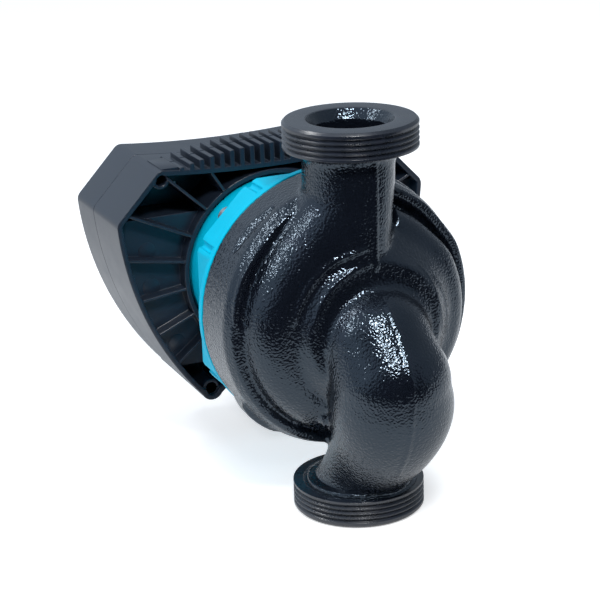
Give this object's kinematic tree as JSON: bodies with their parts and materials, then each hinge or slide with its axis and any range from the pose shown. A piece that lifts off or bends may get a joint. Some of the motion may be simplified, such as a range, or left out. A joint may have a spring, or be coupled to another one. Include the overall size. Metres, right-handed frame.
{
  "type": "circulator pump",
  "caption": "Wet-rotor circulator pump with threaded in-line ports, spiral cast casing, suction elbow, round motor and a ribbed plastic electronics box with display and buttons.",
  "frame": {"origin": "centre of the inlet port's gasket face, on the pipe axis", "axes": "+Z along the pipe axis from the inlet to the outlet, +Y along the motor axis from the casing towards the electronics box, so that +X is on the right when the suction elbow is seen from the front"},
  "size_m": [0.1586, 0.2065, 0.18],
  "materials": {
    "cast_iron_black": "black coated casting, rough skin, machined ports",
    "teal_paint": "satin paint on die-cast aluminium",
    "box_plastic": "satin anthracite moulding",
    "button_plastic": "satin moulding",
    "stainless": "pressed stainless steel",
    "zinc_steel": "zinc-plated screws",
    "lamination": "stacked sheet",
    "magnet": "sintered",
    "copper": "enamelled winding wire",
    "carbon": "resin-bonded carbon",
    "ceramic": "ground ceramic",
    "can_plastic": "glass-filled moulding",
    "impeller_plastic": "glass-filled moulding",
    "insulator_plastic": "moulding",
    "rubber": "moulded seal",
    "board": "lacquered circuit board",
    "component_black": "moulded component",
    "capacitor_sleeve": "shrunk sleeve",
    "spreader": "rolled plate",
    "terminal": "moulded terminal block",
    "window": "tinted window",
    "lamp": "clear light guide",
    "label": "bare plate"
  },
  "bodies": {
    "pump_body": {"volute_casting": "cast_iron_black", "wear_ring": "stainless", "front_bearing": "carbon", "rear_bearing": "carbon", "bearing_plate": "stainless", "can_seal": "rubber", "rotor_can": "can_plastic", "stator_core": "lamination", "stator_coils": "copper", "stator_insulator_front": "insulator_plastic", "stator_insulator_rear": "insulator_plastic", "motor_leads": "copper", "motor_housing": "teal_paint", "flange_screws": "zinc_steel", "rear_shell": "box_plastic", "shell_screws": "zinc_steel", "cover_gasket": "rubber", "front_cover": "box_plastic", "box_screws": "zinc_steel", "power_board": "board", "power_board_screws": "zinc_steel", "bus_capacitors": "capacitor_sleeve", "emc_choke": "component_black", "choke_winding": "copper", "heat_spreader": "spreader", "power_module": "component_black", "terminal_block": "terminal", "terminal_screws": "zinc_steel", "display_board": "board", "display_screws": "zinc_steel", "segment_display": "component_black", "tact_switches": "component_black", "status_lamp": "lamp", "display_window": "window", "label_plate": "label", "gland_body": "component_black", "gland_seal": "rubber", "gland_nut": "component_black", "gland_locknut": "component_black"},
    "rotor": {"rotor_shaft": "ceramic", "impeller": "impeller_plastic", "impeller_shroud": "impeller_plastic", "impeller_clip": "stainless", "thrust_washer": "carbon", "rotor_core": "lamination", "rotor_magnets": "magnet", "rotor_sleeve": "stainless"},
    "down_button": {"button_down": "button_plastic"},
    "mode_button": {"button_mode": "button_plastic"},
    "up_button": {"button_up": "button_plastic"}
  },
  "joints": [
    {"name": "rotor_spin", "type": "hinge", "parent": "pump_body", "child": "rotor", "pos_m": [0, 0.06, 0.09], "axis": [0, 1, 0], "continuous": true},
    {"name": "down_press", "type": "slide", "parent": "pump_body", "child": "down_button", "axis": [0, 1, 0], "range_m": [-0.0006, 0], "stiffness_N_per_m": 400, "springref_m": 0.0005},
    {"name": "mode_press", "type": "slide", "parent": "pump_body", "child": "mode_button", "axis": [0, 1, 0], "range_m": [-0.0006, 0], "stiffness_N_per_m": 400, "springref_m": 0.0005},
    {"name": "up_press", "type": "slide", "parent": "pump_body", "child": "up_button", "axis": [0, 1, 0], "range_m": [-0.0006, 0], "stiffness_N_per_m": 400, "springref_m": 0.0005}
  ]
}
